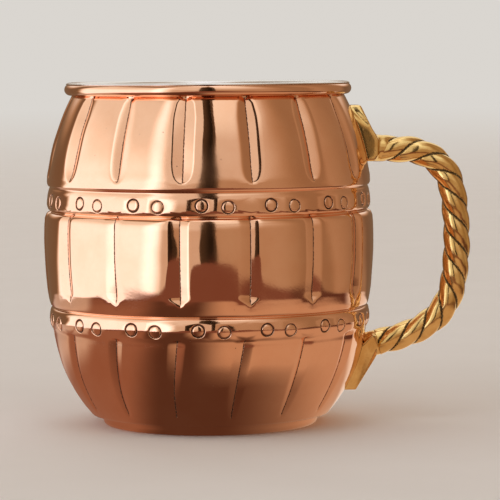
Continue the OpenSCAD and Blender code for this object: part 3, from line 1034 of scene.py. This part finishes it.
def metal(name, groups, look):
    """A worn, polished metal. look holds its colours and how strong each of its marks is; its dirt colour
    also paints shade in the grooves.
    """
    material = bpy.data.materials.new(name)
    material.use_nodes = True
    tree = material.node_tree
    place = add(tree, "ShaderNodeTexCoord").outputs["Object"]

    def group(kind, **values):
        return add(tree, "ShaderNodeGroup", {"Vector": place} | values, node_tree=groups[kind]).outputs

    cloud = group("tarnish", Patch=look["patch"], Contrast=look["contrast"])["Mask"]
    marks = group("marks", Width=look["mark_width"], Length=look["mark_length"])
    pits = group("specks", Spacing=look["pit_spacing"], Size=look["pit_size"], Share=look["pit_share"])
    # painted shade in the creases, grooves, valleys and seams that the groove attribute marks
    crease_shade = group("crease_shade", Grain=look["shade_grain"], Reach=look["shade_reach"])["Mask"]
    pits = pits["Mask"]
    # dirt in the pits, joined with the painted shade in the grooves
    dirty_pits = math_node(tree, "MULTIPLY", pits, PIT_DIRT)
    dirt_and_shade = math_node(tree, "MAXIMUM", dirty_pits, math_node(tree, "MULTIPLY", crease_shade, GROOVE_SHADE))
    clean = math_node(tree, "SUBTRACT", 1.0, math_node(tree, "MULTIPLY", dirt_and_shade, look["dirt_and_shade_dull"]))
    made = {
        "Base Color": metal_colour(tree, look, cloud, dirt_and_shade),
        "Roughness": metal_roughness(tree, look, cloud, marks["Density"], dirt_and_shade),
        "Metallic": clean,
        "Normal": metal_relief(tree, look, marks, pits, crease_shade),
    }
    for socket, value in made.items():
        tree.links.new(value, tree.nodes["Principled BSDF"].inputs[socket])
    return material


def finishes():
    """The mug's four finishes, from the same groups of marks."""
    groups = {"marks": polishing_marks(), "specks": specks(), "tarnish": tarnish(), "crease_shade": painted_crease_shade()}
    common = {
        "patch": 14.0, "contrast": 0.5, "mark_width": 0.5, "mark_length": 7.0, "mark_depth": 0.010,
        "pit_spacing": 3.0, "pit_size": 0.05, "pit_share": 0.3, "pit_depth": 0.01,
        # the shade and dirt entries set the pits' dirt and the painted shade in the grooves
        "shade_grain": 0.5, "shade_reach": 0.5, "shaded_groove_depth": 0.03, "dirt_and_shade_dull": 0.35,
        "rough": 0.035, "rough_cloud": 0.02, "rough_marks": 0.07, "dirt_and_shade": (0.055, 0.018, 0.008, 1),
    }
    copper = common | {"bright": (0.93, 0.575, 0.385, 1), "deep": (0.88, 0.50, 0.315, 1)}
    steel = common | {
        "bright": (0.78, 0.76, 0.73, 1), "deep": (0.68, 0.66, 0.63, 1), "dirt_and_shade": (0.12, 0.11, 0.1, 1),
        "mark_width": 0.25, "rough": 0.16, "rough_cloud": 0.06, "shade_reach": 0.1,
    }
    brass = common | {
        "bright": (0.90, 0.66, 0.28, 1), "deep": (0.74, 0.47, 0.16, 1), "dirt_and_shade": (0.05, 0.026, 0.008, 1),
        "patch": 5.0, "contrast": 0.6, "mark_width": 0.4, "mark_length": 3.0, "mark_depth": 0.02,
        "pit_spacing": 1.1, "pit_size": 0.12, "pit_share": 0.45, "pit_depth": 0.03,
        "shade_grain": 0.45, "shade_reach": 0.45, "shaded_groove_depth": 0.1, "dirt_and_shade_dull": 0.5,
        "rough": 0.10, "rough_cloud": 0.07, "rough_marks": 0.06,
    }
    satin = steel | {"mark_width": 0.15, "mark_length": 3.0, "mark_depth": 0.02, "rough": 0.26}
    looks = {"copper": copper, "liner_steel": steel, "brass": brass, "rivet_steel": satin}
    return {slot: metal(slot + "_finish", groups, look) for slot, look in looks.items()}


# ---- studio ----

WARM = np.array((1.0, 0.64, 0.38))
WHITE = np.array((1.0, 0.97, 0.92))
DAYLIGHT = np.array((1.0, 1.0, 1.12))


# the tent's panels: start, end and soft edge, in degrees from the front towards the handle
KEY_PANEL = (-114, -40, 14)
FRONT_PANEL = (-40, -6, 8)
DARK_GAP = (-6.4, 5.6, 0.4)
HANDLE_PANEL = (4, 132, 1)
FAR_STRIP = (95, 132, 10)
DIMMEST = 0.2
GAP_SHADE = 0.9


def band(x, start, end, edge):
    """1 between start and end, fading to 0 over edge on both sides."""
    return smooth_step(x, start - edge, start) * (1 - smooth_step(x, end, end + edge))


def tent_glow(turn, rise):
    """Brightness of the light tent: turn is from the front towards the handle, rise is above the floor."""
    key = (1.3 - 0.55 * smooth_step(rise, 6, 34)) * (1 - smooth_step(rise, 45, 60))
    front = 0.5 + 0.15 * smooth_step(rise, 5, 14)
    handle_side = 0.30 * (1 - 0.5 * smooth_step(turn, 42, 75) - 0.4 * smooth_step(turn, 90, 120))
    lift = 0.25 * smooth_step(rise, 8, 20) + 0.3 * smooth_step(rise, 30, 46)
    handle_side = handle_side + lift * (1 - smooth_step(turn, 24, 70))
    glow = DIMMEST + key * band(turn, *KEY_PANEL) + front * band(turn, *FRONT_PANEL)
    glow = glow + handle_side * band(turn, *HANDLE_PANEL) + 0.12 * band(turn, *FAR_STRIP)
    glow = glow + 0.8 * smooth_step(np.abs(turn), 132, 150) * smooth_step(rise, 6, 20)
    gap = band(turn, *DARK_GAP) * (1 - smooth_step(rise, 55, 70))
    return glow * (1 - GAP_SHADE * gap) + 0.5 * smooth_step(rise, 62, 80)


def tint(glow):
    """Colour of the light at a brightness: warm where it is dim."""
    share = smooth_step(glow, 0.35, 1.0)[..., None]
    cool = smooth_step(glow, 1.0, 1.7)[..., None]
    colour = (WARM * (1 - share) + WHITE * share) * (1 - cool) + DAYLIGHT * cool
    return colour * np.asarray(glow)[..., None]


DARK_WOOD = np.array((0.105, 0.046, 0.028))
BROWN_WOOD = np.array((0.32, 0.15, 0.095))
TAN_WOOD = np.array((0.60, 0.38, 0.25))
FAR_WOOD = np.array((0.21, 0.085, 0.055))
SUNLIT_WOOD = np.array((0.95, 0.82, 0.7))


def blend(first, second, share):
    return first * (1 - share[..., None]) + second * share[..., None]


# the painted table that only reflections show: reaches in millimetres from the mug's axis, turns as for the
# tent
INNER_RING, OUTER_RING = (52, 74), (122, 165)
TABLE_REACH, EDGE_SOFT = 218, 16
KEY_SIDE = (-135, -90, 14)
HANDLE_SIDE = (116, 150, 14)


def table_edge(turn):
    """How far the table reaches: further in front of the mug, and a little less on the key's side."""
    front = 225 * np.exp(-((turn - 2) / 17) ** 2)
    return TABLE_REACH + front - 30 * band(turn, -120, -24, 8)


def painted_table_reflection(turn, reach):
    """Glow of the floor in reflections: a painted reflection of a brown table, with painted sunlit patches,
    as far as its edge, then the light beyond.
    """
    out = smooth_step(reach, *INNER_RING)
    tan = smooth_step(turn, 4, 88) * (1 - out) + smooth_step(turn, -12, 12) * out
    tan = tan * (1 - smooth_step(turn, 130, 175))
    wood = blend(blend(BROWN_WOOD, DARK_WOOD, smooth_step(turn, -50, -26)), TAN_WOOD, tan)
    far = blend(FAR_WOOD, 0.55 * FAR_WOOD, band(turn, 60, 100, 12))
    wood = blend(wood, far, smooth_step(reach, *OUTER_RING))
    # painted pools of sunlight on the reflected table, beside the key and the handle
    sunlit = 0.5 * band(turn, *KEY_SIDE) * smooth_step(reach, 60, 110) + 0.9 * band(turn, *HANDLE_SIDE)
    wood = blend(wood, SUNLIT_WOOD, sunlit)
    beyond = tint(tent_glow(turn, np.zeros_like(turn)))
    edge = table_edge(turn)
    return blend(wood, beyond, smooth_step(reach, edge - EDGE_SOFT, edge + EDGE_SOFT))


FINE_TURNS = np.unique(np.concatenate([np.linspace(-180, 180, 145), np.linspace(-12, 20, 129)]))
STUDIO_R = 5000
# reaches of the floor's rings of points
REACHES = (
    *np.arange(0, 180, 10), *np.arange(180, 250, 6), *np.arange(250, 450, 12),
    450, 600, 1000, 1600, 2400, 3300, STUDIO_R,
)
PALE = (0.70, 0.67, 0.63, 1)
# the floor fades into the backdrop between these distances, in metres
HAZE = (0.5, 4.5)


def glowing_grid(name, points, colours):
    """A grid of points as a mesh with a glow colour at each point."""
    patches = Patches()
    patches.grid(points)
    mesh = patches.mesh(name)
    layer = mesh.attributes.new("glow", "FLOAT_COLOR", "POINT")
    layer.data.foreach_set("color", np.insert(colours.reshape(-1, 3), 3, 1.0, axis=1).ravel())
    return make_object(name, mesh)


def empty_material(name, obj):
    material = bpy.data.materials.new(name)
    material.use_nodes = True
    material.node_tree.nodes.clear()
    obj.data.materials.append(material)
    return material.node_tree


def glow_light(tree):
    glow = add(tree, "ShaderNodeAttribute", attribute_name="glow").outputs["Color"]
    return add(tree, "ShaderNodeEmission", {"Color": glow, "Strength": 1.0}).outputs[0]


def light_tent():
    """A dome of soft light round the mug, seen only in reflections."""
    rises = np.concatenate([np.linspace(-0.5, 24, 14), np.linspace(28, 90, 14)])
    turn, rise = np.meshgrid(FINE_TURNS, rises)
    flat = STUDIO_R * np.cos(np.radians(rise))
    tent = glowing_grid("light_tent", turned(flat, turn - 90, STUDIO_R * np.sin(np.radians(rise))),
                        tint(tent_glow(turn, rise)))
    tree = empty_material("tent_light", tent)
    add(tree, "ShaderNodeOutputMaterial", {"Surface": glow_light(tree)})
    tent.visible_camera = False
    tent.visible_shadow = False


def floor_paint(tree):
    """The pale paint, which fades into the backdrop far away."""
    place = add(tree, "ShaderNodeTexCoord").outputs["Object"]
    grain = add(tree, "ShaderNodeTexNoise", {"Vector": place, "Scale": 30.0, "Detail": 5.0})
    pale = mix_colour(tree, grain.outputs[0], (0.80, 0.79, 0.77, 1), (0.84, 0.83, 0.81, 1))
    paint = add(tree, "ShaderNodeBsdfDiffuse", {"Color": pale}).outputs[0]
    haze = add(tree, "ShaderNodeEmission", {"Color": PALE, "Strength": 1.0}).outputs[0]
    distance = add(tree, "ShaderNodeVectorMath", {0: place}, operation="LENGTH").outputs["Value"]
    return add(tree, "ShaderNodeMixShader", {0: ramp(tree, distance, *HAZE), 1: paint, 2: haze}).outputs[0]


def studio_floor():
    """A pale round floor. In reflections it glows as a darker table, a painted reflection, as the metal needs
    to show its shape.
    """
    turn, reach = np.meshgrid(FINE_TURNS, REACHES)
    floor = glowing_grid("floor", turned(reach, turn - 90, 0.0), painted_table_reflection(turn, reach))
    tree = empty_material("floor_paint", floor)
    glossy = add(tree, "ShaderNodeLightPath").outputs["Is Glossy Ray"]
    # the floor's glow for glossy rays is a painted reflection of a table
    mixed = add(tree, "ShaderNodeMixShader", {0: glossy, 1: floor_paint(tree), 2: glow_light(tree)})
    add(tree, "ShaderNodeOutputMaterial", {"Surface": mixed.outputs[0]})


def studio_world():
    """Pale behind the mug for the camera, and nearly dark in its reflections."""
    world = bpy.data.worlds.new("studio")
    bpy.context.scene.world = world
    world.use_nodes = True
    tree = world.node_tree
    tree.nodes.clear()
    to_camera = add(tree, "ShaderNodeLightPath").outputs["Is Camera Ray"]
    dim = add(tree, "ShaderNodeBackground", {"Color": (0.04, 0.03, 0.025, 1), "Strength": 1.0})
    pale = add(tree, "ShaderNodeBackground", {"Color": PALE, "Strength": 1.0})
    mixed = add(tree, "ShaderNodeMixShader", {0: to_camera, 1: dim.outputs[0], 2: pale.outputs[0]})
    add(tree, "ShaderNodeOutputWorld", {"Surface": mixed.outputs[0]})


EYE, TARGET = (-1.0, -745.0, 101.0), (11.2, 0.0, 47.3)
LENS, SENSOR = 196, 36
ROLL = -0.4


def camera():
    """A long lens a little above the rim's height, looking along +Y."""
    data = bpy.data.cameras.new("camera")
    data.lens = LENS
    data.sensor_width = SENSOR
    data.clip_start, data.clip_end = 0.05, 50
    eye = Vector(EYE) * MM
    look = (Vector(TARGET) * MM - eye).to_track_quat("-Z", "Y").to_matrix().to_4x4()
    roll = Matrix.Rotation(math.radians(ROLL), 4, "Z")
    obj = make_object("camera", data)
    obj.matrix_world = Matrix.Translation(eye) @ look @ roll
    bpy.context.scene.camera = obj


# ---- the mug ----

camera()
finish = finishes()
staves = staves_tree()
shell = build_barrel("copper_shell_look", shell_stave, staves, finish["copper"], COPPER_WAVES)
liner = build_barrel("steel_liner_look", liner_stave, staves, finish["liner_steel"], 0.0)
strands = build_strands(finish["brass"])
upper_lug = lug_object("upper_lug_look", upper_lug_parts(), UPPER_EASE, finish["brass"])
lower_lug = lug_object("lower_lug_look", lower_lug_parts(), LOWER_EASE, finish["brass"])
rivets = build_rivets(finish["rivet_steel"])

pieces = [
    (shell, "copper", ["copper_shell"]),
    (liner, "liner_steel", ["steel_liner"]),
    (upper_lug, "brass", ["upper_lug"]),
    (lower_lug, "brass", ["lower_lug"]),
    (rivets, "rivet_steel", ["upper_rivet_1", "upper_rivet_2", "lower_rivet_1", "lower_rivet_2"]),
]
pieces += [(strand, "brass", [f"rope_strand_{i + 1}"]) for i, strand in enumerate(strands)]
for piece, slot, nodes in pieces:
    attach(piece, "root")
    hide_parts(*nodes)

light_tent()
studio_floor()
studio_world()
bpy.context.scene.view_settings.view_transform = "Standard"
